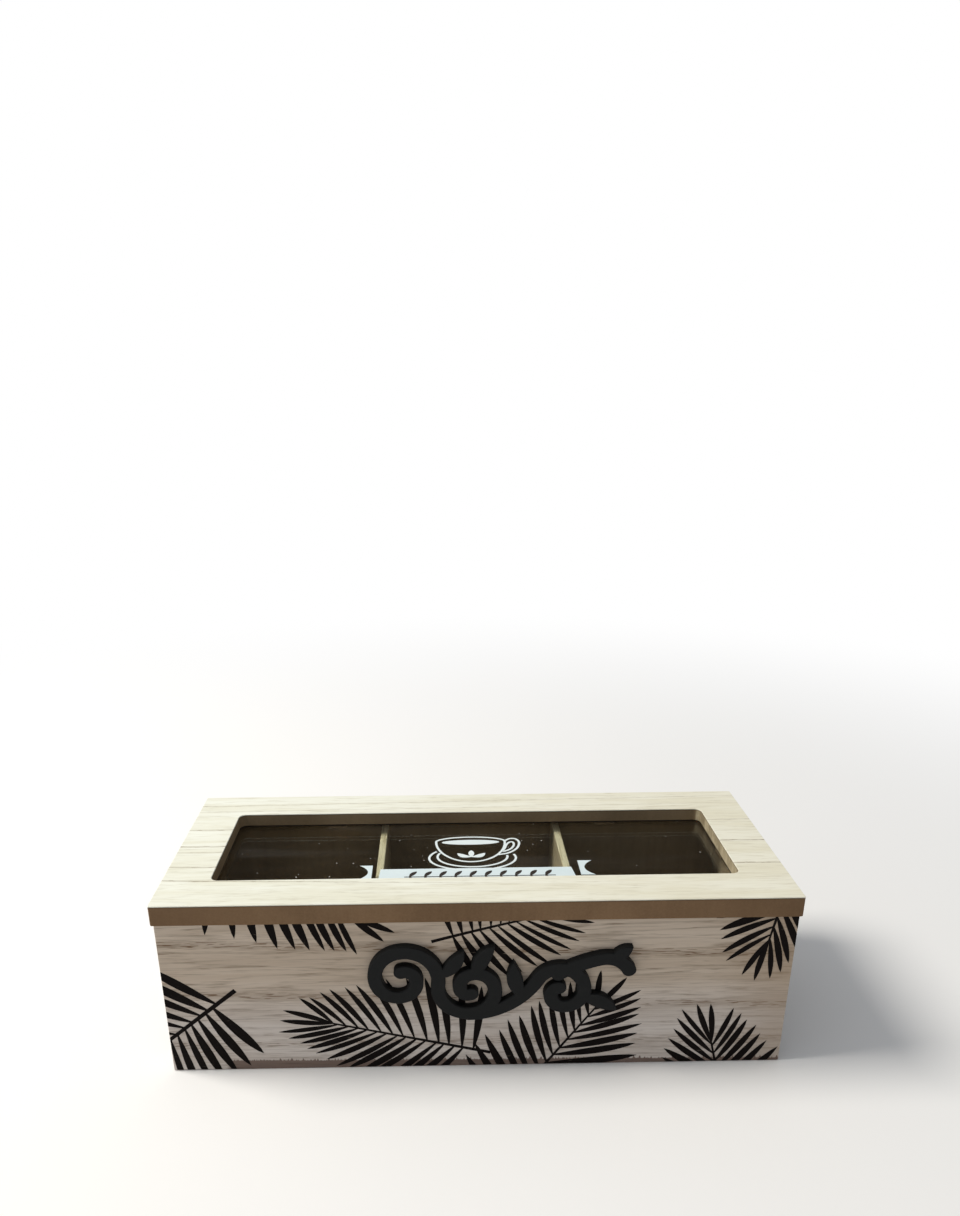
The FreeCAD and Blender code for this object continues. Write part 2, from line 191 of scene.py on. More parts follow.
# %% [markdown]
# ## Veneer
#
# Veneer is a shaving of real wood glued over cheap board. Three things make it look like wood.
# Fibres run along the board as fine streaks, a few centimetres long and under a millimetre wide.
# Growth rings cross the sheet as a few thin lines, nearly straight, where darker pores crowd.
# Between the rings the tone drifts slowly. Noise stretched along the grain gives the first and the
# last. A wave texture would give rings too, but at even spacing. Here each has its own line,
# because on a real sheet they are few and uneven, and run on across a window cut from the board.

# %% Growth rings
RING_REACH = 0.11         # a ring's two heights are given this far from the middle, in metres


def stretched(grain, along, across):
    """Noise cells per metre: few along the grain, many across it."""
    cells = [across] * 3
    cells["XYZ".index(grain)] = along
    return cells


def ring_lines(finish, grain, across, rings, width, sway, shift):
    """Where the growth rings are. A ring gives its heights at the left and right in mm, and its
    strengths there: between them both change evenly, and a strength below nothing is nothing.
    The line sways in a jagged way, and fades from its middle to its edges."""
    along = finish.part(grain)
    drift = finish.math("MULTIPLY_ADD", finish.noise(stretched(grain, 40, 0), 5.0, 0.65, shift),
                        2 * sway, -sway)
    height = finish.math("SUBTRACT", finish.part(across), drift)
    lines = 0.0
    for left, right, first, last in rings:
        slope = (right - left) * MM / (2 * RING_REACH)
        line = finish.math("MULTIPLY_ADD", along, slope, (left + right) / 2 * MM)
        gap = finish.math("ABSOLUTE", finish.math("SUBTRACT", height, line))
        strength = finish.math("MULTIPLY_ADD", along, (last - first) / (2 * RING_REACH),
                               (first + last) / 2)
        drawn = finish.math("MULTIPLY", finish.rise(gap, width, 0.3 * width), strength)
        lines = finish.math("MAXIMUM", lines, drawn)
    return lines


print("cells per metre for grain along X:", stretched("X", 40, 0))

# %% The veneer recipe
CLOUDS, FIBRES, THREADS, PORES = (16, 130), (55, 640), (95, 1500), (230, 2300)   # along, across


def wood_tone(finish, grain, across, colours, rings, ring_width=0.5 * MM, sway=0.5 * MM,
              unbroken=0.15, pores=0.5, streaks=0.6, reach=1.0, shift=0.0):
    """The colour and relief of veneer: drifting tone, fibres, scattered pores and ring lines.
    The colours are the pale and the warm wood, the streaks, and the pores. A ring is a row of
    pores, and only a share of its strength is unbroken. The reach is how long all marks are."""
    def marks_of(cells, detail, roughness=0.5, swirl=0.0):
        cells = stretched(grain, cells[0] / reach, cells[1])
        return finish.noise(cells, detail, roughness, shift, swirl)

    pale, warm, streak, pore = colours
    clouds = marks_of(CLOUDS, 4.0, 0.6, 0.4)
    colour = finish.blend(finish.rise(clouds, 0.36, 0.66), pale, warm)
    fibres = marks_of(FIBRES, 3.0, 0.6, 0.6)
    colour = finish.blend(finish.rise(fibres, 0.48, 0.7, streaks), colour, streak)
    threads = marks_of(THREADS, 2.0, 0.6, 0.3)
    colour = finish.blend(finish.rise(threads, 0.5, 0.72, 0.7 * streaks), colour, streak)
    dashes = finish.rise(marks_of(PORES, 1.0), 0.54, 0.62)
    scattered = finish.math("MULTIPLY", dashes, finish.rise(fibres, 0.5, 0.66, pores))
    lines = ring_lines(finish, grain, across, rings, ring_width, sway, shift)
    broken = finish.math("MULTIPLY_ADD", dashes, 1 - unbroken, unbroken)
    marks = finish.math("MAXIMUM", scattered, finish.math("MULTIPLY", lines, broken))
    colour = finish.blend(marks, colour, pore)
    height = finish.math("SUBTRACT", finish.math("MULTIPLY", threads, 0.5), marks)
    return colour, height


print("a pore is about", [round(1000 / cells, 1) for cells in PORES], "mm long and wide")

# %% [markdown]
# ## The lid's veneer
#
# The lid's sheet is pale ivory, almost without figure, and a little yellower towards the right. A
# few rings cross it, at a slight slant. One recipe with two sets of colours gives the drift from
# left to right. Two materials would need a seam.

# %% Veneer on the lid
LID_WOOD = (paint(244, 245, 233), paint(236, 235, 218), paint(213, 210, 189), paint(132, 112, 84))
YELLOWED = (paint(241, 238, 221), paint(233, 228, 206), paint(210, 203, 178), paint(132, 112, 84))
LID_RINGS = [(13.6, 17.6, 0.8, 0.5), (-1.6, -1.9, 1.0, 1.0), (-6.6, -3.2, 0.5, 0.1),
             (-18.9, -21.2, 0.9, 1.0), (-29.7, -38.7, 1.0, -0.6), (37.5, 42.0, 0.6, 0.3),
             (31.5, 34.5, 0.4, 0.2)]

lid_finish = Finish("lid_veneer", Roughness=0.62, Specular_IOR_Level=0.3)
rightward = lid_finish.rise(lid_finish.part("X"), -120 * MM, 120 * MM)
colours = [lid_finish.blend(rightward, left, right) for left, right in zip(LID_WOOD, YELLOWED)]
colour, height = wood_tone(lid_finish, "X", "Y", colours, LID_RINGS, ring_width=0.62 * MM,
                           sway=0.9 * MM, unbroken=0.4, pores=0.12, streaks=0.42)
lid_finish.colour(colour)
lid_finish.relief(height, 0.06 * MM, 0.5)
dress(lid_finish, "lid_veneer")

# %% [markdown]
# ## The case's veneer
#
# The case wears a plainer sheet with open pores, beige above and greyer below, where it is also
# painted paler as painted light from the floor. On the front, three bands of pores cross it. Along
# the foot, the sheet stops a few millimetres short of the underside in a ragged line, and the dark
# edge of the base shows. The strip could be cut from the sheet, but veneer is so thin that its
# edge can't be seen, so a ragged line in the material draws it.

# %% The case's tone
CASE_WOOD = (paint(221, 205, 187), paint(206, 188, 168), paint(158, 141, 122), paint(130, 106, 83))
# Below, the wood is greyer, and also paler as painted light where the floor would light the foot.
LOW_WOOD = (paint(227, 218, 210), paint(213, 202, 192), paint(174, 161, 150), paint(140, 120, 102))
FRONT_RINGS = [(57.6, 50.0, 1, 1), (35.5, 27.2, 1, 1), (12.0, 11.0, 0.8, 0.8)]
FOOT_COLOURS = (paint(132, 110, 98), paint(92, 72, 62))


def case_tone(finish, grain, rings, streaks=0.62, shift=0.0):
    """The case's veneer: one colour set above, the other below, and a soft change between."""
    low = finish.rise(finish.part("Z"), 44 * MM, 20 * MM)
    colours = [finish.blend(low, above, below) for above, below in zip(CASE_WOOD, LOW_WOOD)]
    return wood_tone(finish, grain, "Z", colours, rings, ring_width=2.4 * MM, sway=0.8 * MM,
                     unbroken=0.2, pores=0.45, streaks=streaks, reach=1.6, shift=shift)


def case_veneer(name, tone, *settings):
    """A finish of the case whose colour and relief come from a tone and its settings."""
    finish = Finish(name, Roughness=0.68, Specular_IOR_Level=0.3)
    colour, height = tone(finish, *settings)
    finish.colour(colour)
    finish.relief(height, 0.08 * MM, 0.6)
    dress(finish, name)


print("bands of pores across the front:", len(FRONT_RINGS))

# %% Veneer on the front
STRIP_HEIGHT, STRIP_SLOPE = 3.1 * MM, -0.0125
STRIP_START = (-99 * MM, -96 * MM)       # no strip left of the first, all of it from the second


def foot_strip(finish):
    """Where the ragged dark strip along the front's foot is: under a line that slopes down to
    the right, raised and lowered by coarse fibres and by fine upright hairs."""
    along, height = finish.part("X"), finish.part("Z")
    line = finish.math("MULTIPLY_ADD", along, STRIP_SLOPE, STRIP_HEIGHT)
    ragged = finish.math("MULTIPLY_ADD", finish.noise((90, 0, 0), 2.0), 1.0 * MM, -0.5 * MM)
    hairs = finish.rise(finish.noise((900, 0, 0), 2.0), 0.45, 0.7)
    hairs = finish.math("MULTIPLY", hairs, 1.3 * MM)
    line = finish.math("ADD", finish.math("ADD", line, ragged), hairs)
    below = finish.rise(finish.math("SUBTRACT", line, height), -0.2 * MM, 0.4 * MM, 0.9)
    return finish.math("MULTIPLY", below, finish.rise(along, *STRIP_START))


def front_tone(finish):
    """The case's tone, with painted shade near the right end, and the dark strip at its foot."""
    colour, height = case_tone(finish, "X", FRONT_RINGS)
    # Painted shade: the front turns darker and browner towards its right end.
    right_end_shade = finish.rise(finish.part("X"), 84 * MM, 119 * MM, 0.45)
    colour = finish.blend(right_end_shade, colour, paint(170, 144, 116))
    foot = finish.blend(finish.noise((60, 0, 1800), 2.0), *FOOT_COLOURS)
    return finish.blend(foot_strip(finish), colour, foot), height


case_veneer("front_veneer", front_tone)

# %% Veneer on the back and the sides
for name, grain, rings, shift in (
        ("back_veneer", "X", [(48, 55, 0.8, 0.8), (20, 14, 1, 1)], 3.1),
        ("left_side_veneer", "Y", [(52, 41, 1, 1), (23, 30, 0.7, 0.7)], 5.7),
        ("right_side_veneer", "Y", [(44, 50, 1, 1), (15, 19, 0.7, 0.7)], 8.3)):
    case_veneer(name, case_tone, grain, rings, 0.5, shift)

# %% [markdown]
# ## Fibreboard
#
# The boards under the veneer are medium-density fibreboard: brown, without grain, speckled by
# its fibres, with upright marks where a router cut it. Real fibres could be scattered as hairs,
# but they are too small to be seen singly, so two scales of noise and a stretched one do.

# %% The fibreboard recipe
SEALED_BROWNS = (paint(160, 129, 97), paint(110, 85, 60))
RAW_BROWNS = (paint(162, 141, 112), paint(112, 95, 72))


def fibreboard(name, marks=0.35):
    """Speckle from fine noise, slow clouds of tone, and upright cutter marks, as a share from the
    pale brown to the dark one."""
    finish = Finish(name, Roughness=0.8, Specular_IOR_Level=0.25)
    clouds = finish.rise(finish.noise((28, 28, 28), 3.0), 0.3, 0.7)
    speckle = finish.noise((1100, 1100, 1100), 3.0, 0.7)
    cutter = finish.noise((420, 420, 12), 2.0)
    share = finish.math("MULTIPLY_ADD", clouds, 0.35, finish.math("MULTIPLY", speckle, 0.45))
    share = finish.math("MULTIPLY_ADD", cutter, marks, share)
    finish.relief(speckle, 0.05 * MM, 0.5)
    return finish, share


board_finish, share = fibreboard("fibreboard")
board_finish.colour(board_finish.blend(share, *RAW_BROWNS))
dress(board_finish, "front_board", "back_board", "left_side_board", "right_side_board")

# %% [markdown]
# ## The lid's board
#
# The lid is one board with many faces. Its outer edges are sealed, so they are a little redder
# than raw board, and darker towards the lid's ends. The walls of the window are raw. The right
# one is painted paler than the rest, as painted light from the lamp on the left, and a thin line
# of painted shade runs where the walls meet the pane. Right under the veneer runs another thin
# line of painted shade. Each face could have a material of its own, but loose triangles are
# tedious to sort. Ranges of the coordinates tell the faces apart just as well.

# %% Fibreboard for the lid
WINDOW_X, WINDOW_Y = 102, 30.5       # just past the window's walls, in mm
glass_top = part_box("glass_pane")[1].z
board_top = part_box("lid_board")[1].z


def inside(finish, axis, low, high, soft=0.5):
    """1 where a coordinate is between two values in mm, with soft ends."""
    value = finish.part(axis)
    return finish.math("MULTIPLY", finish.rise(value, (low - soft) * MM, low * MM),
                       finish.rise(value, (high + soft) * MM, high * MM))


def window_walls(finish, left):
    """1 on the walls of the window above the pane, from a place at the left to the right wall."""
    area = finish.math("MULTIPLY", inside(finish, "X", left, WINDOW_X),
                       inside(finish, "Y", -WINDOW_Y, WINDOW_Y))
    return finish.math("MULTIPLY", area, inside(finish, "Z", 68.6, 76))


lid_board, share = fibreboard("lid_board", marks=0.2)
height = lid_board.part("Z")
brown = lid_board.blend(share, *SEALED_BROWNS)
# Darker towards the lid's ends.
from_middle = lid_board.math("ABSOLUTE", lid_board.part("X"))
ends = lid_board.rise(from_middle, 45 * MM, 112 * MM, 0.34)
brown = lid_board.blend(ends, brown, SEALED_BROWNS[1])

raw = lid_board.blend(share, *RAW_BROWNS)
# Painted light: the right wall of the window is painted paler, in pale blotches, as if the lamp on
# the left lit it more.
blotches = lid_board.rise(lid_board.noise((170, 170, 90), 5.0, 0.7), 0.3, 0.7)
pale = lid_board.blend(blotches, paint(200, 186, 153), paint(140, 125, 98))
brown = lid_board.blend(window_walls(lid_board, -WINDOW_X), brown, raw)
brown = lid_board.blend(window_walls(lid_board, WINDOW_X - 2), brown, pale)

# Painted shade: a thin dark line low on the window's walls, where they meet the pane.
low = lid_board.rise(height, glass_top + 0.75 * MM, glass_top + 0.35 * MM)
seam = lid_board.math("MULTIPLY", low, window_walls(lid_board, -WINDOW_X))
brown = lid_board.blend(seam, brown, paint(28, 21, 14))
# Painted shade: a thin dark line along the board's top, right under the veneer.
shade_under_veneer = lid_board.rise(height, board_top - 0.5 * MM, board_top - 0.2 * MM, 0.6)
lid_board.colour(lid_board.blend(shade_under_veneer, brown, paint(74, 56, 42)))
dress(lid_board, "lid_board")

# %% [markdown]
# ## The base board
#
# The base is sealed brown board. Its front edge is flush with the veneer, and the ragged strip
# lies on both. So on that edge the board takes the front's own tone. A thin cover for both could
# be made too, but it would be one more piece for what a colour can show.

# %% Fibreboard for the base
base_board, share = fibreboard("base_board")
front_colour, _ = front_tone(base_board)
front_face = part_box("front_veneer")[0].y
on_front = base_board.rise(base_board.part("Y"), front_face + 0.1 * MM, front_face)
brown = base_board.blend(share, *SEALED_BROWNS)
base_board.colour(base_board.blend(on_front, brown, front_colour))
dress(base_board, "base_panel")

# %% [markdown]
# ## The dividers
#
# The dividers are thin plywood, with fine plies along their sawn upper edge. The edge is painted
# pale as painted light from above, and the faces darker as painted shade. The veneer's recipe
# serves for the edge, and a plain blend for the faces.

# %% Thin ply for the dividers
PLY_WOOD = (paint(236, 222, 190), paint(224, 208, 172), paint(184, 164, 126), paint(126, 102, 72))
PLY_FACES_PAINTED_SHADE = (paint(196, 178, 148), paint(146, 128, 102))

ply_finish = Finish("divider_ply", Roughness=0.7, Specular_IOR_Level=0.25)
colour, height = wood_tone(ply_finish, "Y", "Z", PLY_WOOD, [(30, 34, 1, 1)], pores=0.4, shift=2.2)
# Painted light and shade: the top edge is painted pale as if lit from above, the faces darker as
# if in shade.
faces = ply_finish.blend(ply_finish.noise((60, 12, 200), 3.0), *PLY_FACES_PAINTED_SHADE)
ply_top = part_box("left_divider")[1].z
edge = ply_finish.rise(ply_finish.part("Z"), ply_top - 0.6 * MM, ply_top - 0.3 * MM)
ply_finish.colour(ply_finish.blend(edge, faces, colour))
ply_finish.relief(height, 0.06 * MM, 0.5)
dress(ply_finish, "left_divider", "right_divider")

# %% [markdown]
# ## Paint and metal
#
# The scroll on the front is cut from board and brushed matte black, with a little dust. The small
# hinges are brass-plated, the nails zinc-plated and the clips under the glass lacquered brown. A
# plain colour would do from far off. Close by, plating is told by its dull patches and scratches,
# so these vary the roughness too.

# %% Black paint
black_finish = Finish("black_paint", Roughness=0.62, Specular_IOR_Level=0.18)
brushed = black_finish.noise((240, 240, 240), 4.0, 0.6)
dust = black_finish.rise(black_finish.noise((120, 120, 120), 5.0, 0.7, shift=4.0), 0.6, 0.8, 0.5)
black = black_finish.blend(brushed, paint(10, 12, 13), paint(19, 21, 22))
black_finish.colour(black_finish.blend(dust, black, paint(38, 37, 36)))
black_finish.relief(brushed, 0.15 * MM, 0.4)
dress(black_finish, "front_ornament")


# %% Plated metal
def plated(name, bright, dull, roughness):
    """Metal whose plating is dulled in patches, and polished along fine scratches."""
    finish = Finish(name, Metallic=1.0)
    patches = finish.rise(finish.noise((300, 300, 300), 4.0), 0.35, 0.7)
    finish.colour(finish.blend(patches, bright, dull))
    scratches = finish.noise((90, 2600, 2600), 2.0)
    worn = finish.math("MULTIPLY_ADD", scratches, 0.25, roughness - 0.12)
    finish.set(finish.shader, {"Roughness": finish.math("MULTIPLY_ADD", patches, 0.12, worn)})
    finish.relief(scratches, 0.02 * MM, 0.3)
    return finish


brass_finish = plated("brass_plate", paint(205, 172, 104), paint(160, 126, 70), 0.32)
steel_finish = plated("zinc_plate", paint(176, 176, 178), paint(128, 127, 126), 0.36)
for side in ("left", "right"):
    dress(brass_finish, side + "_hinge_case_leaf", side + "_hinge_lid_leaf",
          side + "_hinge_case_nails", side + "_hinge_lid_nails")
    dress(steel_finish, side + "_hinge_pin")
dress(steel_finish, "base_nails")

lacquer_finish = Finish("brown_lacquer", Roughness=0.45, Specular_IOR_Level=0.3)
drift = lacquer_finish.noise((300, 300, 300), 4.0)
lacquer_finish.colour(lacquer_finish.blend(drift, paint(158, 132, 104), paint(118, 96, 72)))
lacquer_finish.relief(drift, 0.03 * MM, 0.3)
dress(lacquer_finish, "glass_clips", "glass_clip_pins")

# %% [markdown]
# ## Glass
#
# The pane is plain window glass. Seen from 22 degrees above its plane it mirrors about a quarter
# of the light, and it lifts what lies below it a little. In a path tracer such glass also stops
# the lamps, so the box under it turns black. Low Alpha would let the light in, but such a pane
# neither bends nor mirrors enough. So shadow rays and diffuse rays meet plain transparency, by
# the Light Path node, and all others meet glass. A thin, uneven film of dust with a few specks
# lies on top.

# %% Window glass
glass_finish = Finish("window_glass", Base_Color=paint(250, 253, 251), Roughness=0.0, IOR=1.47,
                      Transmission_Weight=1.0)
ray = glass_finish.add("ShaderNodeLightPath").outputs
lighting = glass_finish.math("MAXIMUM", ray["Is Shadow Ray"], ray["Is Diffuse Ray"])
straight = glass_finish.add("ShaderNodeBsdfTransparent", {"Color": paint(246, 249, 247)})
pane = glass_finish.mix(lighting, glass_finish.shader, straight)

upper = glass_finish.rise(glass_finish.part("Z"), glass_top - 0.5 * MM, glass_top - 0.1 * MM)
specks = glass_finish.rise(glass_finish.noise((560, 560, 0), 1.0), 0.755, 0.795, 0.65)
smears = glass_finish.noise((9, 80, 0), 3.0, 0.55, swirl=0.5)
smears = glass_finish.rise(smears, 0.45, 0.85, 0.03)
dust = glass_finish.math("MULTIPLY", upper, glass_finish.math("MAXIMUM", specks, smears))
powder = glass_finish.add("ShaderNodeBsdfDiffuse", {"Color": paint(232, 230, 226)})
glass_finish.surface(glass_finish.mix(dust, pane, powder))
dress(glass_finish, "glass_pane")

# %% [markdown]
# ## Printing ink
#
# Ink is a skin a few hundredths of a millimetre thick. It could be a painted mask in the
# material, but a print of a hundred crisp leaves is easier to draw as real, thin shapes: each is
# a grid of points in the plane of its panel, trimmed at the panel's edges and given a thickness.
# The skin is a little thicker here than real ink, so that it never flickers with the wood. Each
# shape lies a hair higher than the one before, so that where two cross, they never share a plane.

# %% Laying ink on a face
INK = 0.05 * MM                      # how far the first shape stands proud
INK_STEP = 0.0005 * MM               # how much higher each next shape lies
INK_DEPTH = 0.08 * MM                # more than INK, so that the first shape's back is sunk in
NEAR = 1e-7                          # points closer together than this are one, in metres


def quads(rows, columns):
    """The cells of a grid of points, turned anticlockwise."""
    here = (np.arange(rows - 1)[:, None] * columns + np.arange(columns - 1)).reshape(-1)
    return np.stack([here, here + columns, here + columns + 1, here + 1], -1)


def lay_ink(name, groups, onto, edges, finish, body):
    """One piece of ink. A group holds shapes of one kind, each a grid of points in mm on the
    panel, and onto(points, rise) puts them on the face. The edges trim the ink: left, right,
    bottom, top."""
    points, faces, shapes, count = [], [], 0, 0
    for group in groups:
        many, rows, columns, _ = group.shape
        size = rows * columns
        rise = INK + INK_STEP * np.repeat(shapes + np.arange(many), size)
        points.append(onto(group.reshape(-1, 2) * MM, rise))
        starts = count + np.arange(many)[:, None, None] * size
        faces.append((quads(rows, columns) + starts).reshape(-1, 4))
        shapes, count = shapes + many, count + many * size
    mesh = bpy.data.meshes.new(name)
    mesh.from_pydata(np.concatenate(points).tolist(), [], np.concatenate(faces).tolist())
    build = bmesh.new()
    build.from_mesh(mesh)
    bmesh.ops.remove_doubles(build, verts=build.verts, dist=NEAR)
    middle = np.array([[(edges[0] + edges[1]) / 2, (edges[2] + edges[3]) / 2]])
    for axis, limit in zip((0, 0, 1, 1), edges):
        corner = middle.copy()
        corner[0, axis] = limit
        edge, centre = (onto(place * MM, np.zeros(1))[0] for place in (corner, middle))
        bmesh.ops.bisect_plane(build, geom=[*build.verts, *build.edges, *build.faces], dist=NEAR,
                               plane_co=edge, plane_no=edge - centre, clear_outer=True)
    build.to_mesh(mesh)
    build.free()
    mesh.materials.append(finish.material)
    piece = bpy.data.objects.new(name, mesh)
    bpy.context.scene.collection.objects.link(piece)
    skin = piece.modifiers.new("thickness", "SOLIDIFY")
    skin.thickness, skin.offset = INK_DEPTH, -1
    print(name, "has", len(mesh.polygons), "faces")
    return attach(piece, body)


print("the cells of a grid of 3 by 2 points:", quads(3, 2).tolist())

# %% [markdown]
# ## Palm fronds
#
# A palm frond is a stem with narrow leaflets left and right, close together, leaning towards the
# tip. The stem is a straight chord with a slight bow. A leaflet is a lance: its width rises
# quickly from nothing, is fullest just past the middle and ends in a sharp point. One leaflet
# could be drawn and copied along the stem, but no two of them are alike, so one formula works
# out all leaflets of a side at once, each with its own place, angle and length.

# %% Stems and leaflets
def point_on_stem(base, tip, bow, share):
    """Point and heading at a share of the stem: the chord plus a parabola as high as the bow."""
    chord = np.subtract(tip, base)
    length = np.hypot(*chord)
    left = np.array([-chord[1], chord[0]]) / length
    share = np.asarray(share, float)[..., None]
    point = base + share * chord + 4 * bow * share * (1 - share) * left
    turn = np.arctan2(4 * bow * (1 - 2 * share[..., 0]), length)
    return point, np.arctan2(chord[1], chord[0]) + turn


def lances(start, heading, length, width, bend, cuts=12):
    """Leaflets as grids of two parameters: the share u from base to tip, and the side, -1 or 1.
    The width is a rounded sine of a power of u, fullest just past the middle, and the midrib
    bends as a parabola."""
    u = np.linspace(0, 1, cuts + 1)[None, :, None]
    side = np.array([-1.0, 1.0])
    ahead = np.stack([np.cos(heading), np.sin(heading)], -1)[:, None, None, :]
    left = np.stack([-np.sin(heading), np.cos(heading)], -1)[:, None, None, :]
    half = width[:, None, None] / 2 * np.sin(np.pi * (0.05 + 0.95 * u) ** 1.2).clip(0) ** 0.7
    across = side * half + 4 * u * (1 - u) * bend[:, None, None]
    reach = u * length[:, None, None] * np.ones(2)
    return start[:, None, None, :] + reach[..., None] * ahead + across[..., None] * left


def stem_band(base, tip, bow, thick, thin, cuts=24):
    """The stem as a band that tapers evenly from its base to its tip."""
    share = np.linspace(0, 1, cuts + 1)
    point, heading = point_on_stem(base, tip, bow, share)
    left = np.stack([-np.sin(heading), np.cos(heading)], -1)[:, None, :]
    half = (thick + (thin - thick) * share)[:, None, None] / 2
    return (point[:, None, :] + np.array([-1.0, 1.0])[None, :, None] * half * left)[None]


leaflet = lances(np.zeros((1, 2)), np.zeros(1), np.full(1, 20.0), np.full(1, 2.6), np.zeros(1))
print("a leaflet 20 mm long is", round(float(np.ptp(leaflet[..., 1])), 2), "mm wide")


# %% A frond
def frond(seed, base, tip, left, right, ends, width=2.6, bow=0.0, curl=0.02, crowd=1.0,
          stem_ends=(1.3, 0.7)):
    """Two groups of shapes: the leaflets of one frond, and its stem over them. Each side gives
    how many leaflets there are, how far along the stem the first and the last start, their angles
    from the stem at base and tip and how fast the angle falls, their lengths at base and tip, and
    how much longer the middle ones are. They get narrower towards the tip. Ends are the leaflets
    at the very tip: turn and length. No leaflet is quite like its neighbour."""
    rng = np.random.default_rng(seed)
    stem = np.hypot(*np.subtract(tip, base))
    leaflets = []
    for side, form in ((1, left), (-1, right)):
        if form is None:
            continue
        count, first, last, wide, narrow, fall, long, short, swell = form
        order = np.linspace(0, 1, count)
        jitter = rng.uniform(-0.1, 0.1, count) * (last - first) / (count - 1)
        share = (first + (last - first) * order ** crowd + jitter) / stem
        start, heading = point_on_stem(base, tip, bow, share)
        angle = narrow + (wide - narrow) * (1 - order) ** fall + rng.uniform(-1.6, 1.6, count)
        length = long + (short - long) * order + 4 * swell * order * (1 - order)
        length *= 1 + rng.uniform(-0.04, 0.04, count)
        widths = width * (1.15 - 0.38 * order) * rng.uniform(0.9, 1.1, count)
        leaflets.append(lances(start, heading + side * np.radians(angle), length, widths,
                               side * curl * length))
    turns, reach = np.array(ends).T
    start, heading = point_on_stem(base, tip, bow, np.ones(len(turns)))
    leaflets.append(lances(start, heading + np.radians(turns), reach,
                           np.full(len(turns), 0.85 * width), 0.015 * np.sign(turns) * reach))
    return [np.concatenate(leaflets), stem_band(base, tip, bow, *stem_ends)]


def all_fronds(fronds):
    """The groups of shapes of all fronds, each with its own seed."""
    return [group for seed, form in enumerate(fronds, start=1) for group in frond(seed, **form)]


print("a frond is two groups of shapes: its leaflets, then its stem over them")

# %% [markdown]
# ## The print on the front
#
# Seven fronds lie on the front. They run off it on every side, so most show only in part. Their
# ink is a matte black with hairlines where it missed the raised grain. The ink carries its own
# noise, so no two leaflets wear in the same way.

# %% The fronds on the front, from the middle of the panel's foot, in mm
FRONT_FRONDS = [
    dict(base=(-101, 93.4), tip=(-48.6, 70.6), left=None,
         right=(10, 6.4, 53.2, 76.6, 46.6, 3, 29.1, 20.7, 2.1),
         ends=((-19.6, 18.8), (-3.4, 20.0)), width=3.2, crowd=0.95),
    dict(base=(-17.3, 57.4), tip=(25, 68.2), bow=0.3, left=(10, 8.6, 40.6, 90, 52, 1, 22, 18, 2),
         right=(10, 8, 39.5, 77, 34, 1, 20.5, 20.5, 6), ends=((-24, 18.5), (5, 17)), width=2.3),
    dict(base=(-91.9, 37.1), tip=(-140, -2.5), left=(8, 12.3, 38.6, 89, 57, 1.3, 28.7, 32, 0),
         right=(7, 9.6, 35.4, 75, 48, 1, 31, 29, 0), ends=((-10, 20), (10, 20)), width=3.25,
         curl=-0.01, stem_ends=(1.8, 1.2)),
    dict(base=(5, 6.3), tip=(-55.7, 21.2), left=(14, 10.5, 60.1, 59, 20, 0.72, 30.5, 23, 1),
         right=(13, 7, 62, 81, 30, 1.2, 30, 17, 5), ends=((-5.2, 19.8), (8.8, 20.3)), width=2.6),
    dict(base=(11.6, -20.9), tip=(45.7, 27.2), left=(13, 0, 54, 66, 41, 1.4, 31.5, 19, 2.5),
         right=(8, 26.6, 57, 49, 29, 1, 35, 19, 1), ends=((-4.7, 17), (32, 16.5)), width=2.7),
    dict(base=(112.5, 76), tip=(108.9, 56), left=(5, 1.5, 19, 40, 18, 1, 27, 17.8, 0),
         right=(5, 4.5, 17.7, 66, 44, 1, 24, 19.5, 0), ends=((-19, 17.6), (-1.1, 18.5)),
         width=2.7),
    dict(base=(97.6, -15), tip=(91.7, 9.3), left=(6, 3, 23.6, 47, 25, 1, 28.6, 21, 0),
         right=(7, 0.5, 23.3, 58, 36, 1, 29, 18.8, 0), ends=((-7.5, 18.4), (8.0, 19.6)),
         width=2.7),
]
print("fronds on the front:", len(FRONT_FRONDS))

# %% Ink for wood, and the print on the front
wood_ink = Finish("palm_ink", Roughness=0.75, Specular_IOR_Level=0.08)
missed = wood_ink.rise(wood_ink.noise((130, 130, 2600), 2.0, 0.6), 0.7, 0.8, 0.5)
warmth = wood_ink.noise((40, 40, 500), 2.0)
ink_black = wood_ink.blend(warmth, paint(9, 6, 6), paint(22, 16, 14))
wood_ink.colour(wood_ink.blend(missed, ink_black, CASE_WOOD[1]))
wood_ink.relief(warmth, 0.05 * MM, 0.4)

FOOT, RIM = 0.35, 66.0              # the print's lowest and highest line, in mm
half_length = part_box("front_veneer")[1].x / MM


def onto_front(points, rise):
    return np.stack([points[:, 0], front_face - rise, points[:, 1]], -1)


palm_front = lay_ink("front_palm_print", all_fronds(FRONT_FRONDS), onto_front,
                     (-half_length, half_length, FOOT, RIM), wood_ink, "case")

# %% [markdown]
# ## The print on the sides
#
# The print goes on round the case. Each side has two fronds: a large one that rises from a lower
# corner, and the tips of another that hangs from the rim. The front's fronds could be wrapped
# round the corner, but a sheet of veneer ends there, and its print with it.

